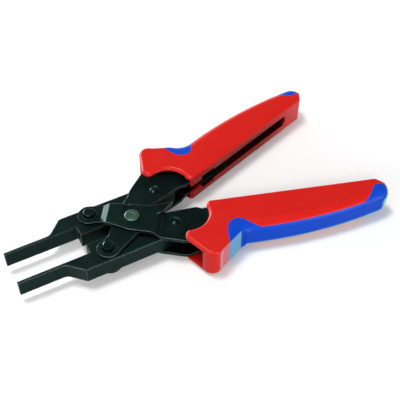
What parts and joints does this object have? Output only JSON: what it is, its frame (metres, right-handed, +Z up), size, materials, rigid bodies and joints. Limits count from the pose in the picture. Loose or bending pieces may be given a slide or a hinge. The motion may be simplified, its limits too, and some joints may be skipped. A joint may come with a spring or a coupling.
{
  "type": "parallel-acting pliers",
  "caption": "Parallel-acting pliers with slim stepped bar jaws, crossed black steel linkage plates and red handle grips with blue inlays.",
  "frame": {"origin": "on the pivot axis, at the flat underside of the pivot rivet's lower head", "axes": "+X from the jaw tips to the handle ends, +Y towards the far handle, +Z up out of the table"},
  "size_m": [0.206, 0.1024, 0.02],
  "materials": {
    "black_steel": "satin black oxide",
    "bare_steel": "satin",
    "dark_fastener": "satin",
    "grip_red": "satin gloss",
    "inlay_blue": "matte grain"
  },
  "bodies": {
    "near_handle": {"near_top_plate": "black_steel", "near_bottom_plate": "black_steel", "near_grip": "grip_red", "near_grip_inlay": "inlay_blue", "pivot_rivet": "bare_steel", "pivot_bush": "bare_steel", "far_jaw_bolt": "dark_fastener", "far_jaw_washers": "dark_fastener", "far_jaw_nut": "dark_fastener", "near_slide_pin": "dark_fastener", "near_tang_rivet": "bare_steel", "return_spring": "bare_steel"},
    "far_handle": {"far_top_plate": "black_steel", "far_bottom_plate": "black_steel", "far_grip": "grip_red", "far_grip_inlay": "inlay_blue", "near_jaw_bolt": "dark_fastener", "near_jaw_washers": "dark_fastener", "near_jaw_nut": "dark_fastener", "far_slide_pin": "dark_fastener", "far_tang_rivet": "bare_steel"},
    "far_jaw_body": {"far_jaw": "black_steel", "far_jaw_bush": "bare_steel"},
    "near_jaw_body": {"near_jaw": "black_steel", "near_jaw_bush": "bare_steel"}
  },
  "joints": [
    {"name": "handle_pivot", "type": "hinge", "parent": "near_handle", "child": "far_handle", "pos_m": [0, 0, 0.01], "axis": [0, 0, -1], "range_deg": [0, 18], "stiffness_Nm_per_rad": 0.4, "deforming": ["return_spring"]},
    {"name": "far_jaw_pivot", "type": "hinge", "parent": "near_handle", "child": "far_jaw_body", "pos_m": [-0.0195, 0.013, 0.01], "axis": [0, 0, -1], "range_deg": [0, 9]},
    {"name": "near_jaw_pivot", "type": "hinge", "parent": "far_handle", "child": "near_jaw_body", "pos_m": [-0.0195, -0.013, 0.01], "axis": [0, 0, 1], "range_deg": [0, 9]}
  ],
  "couplings": [
    {"joint": "far_jaw_pivot", "follows": "handle_pivot", "ratio": 0.5},
    {"joint": "near_jaw_pivot", "follows": "handle_pivot", "ratio": 0.5}
  ]
}
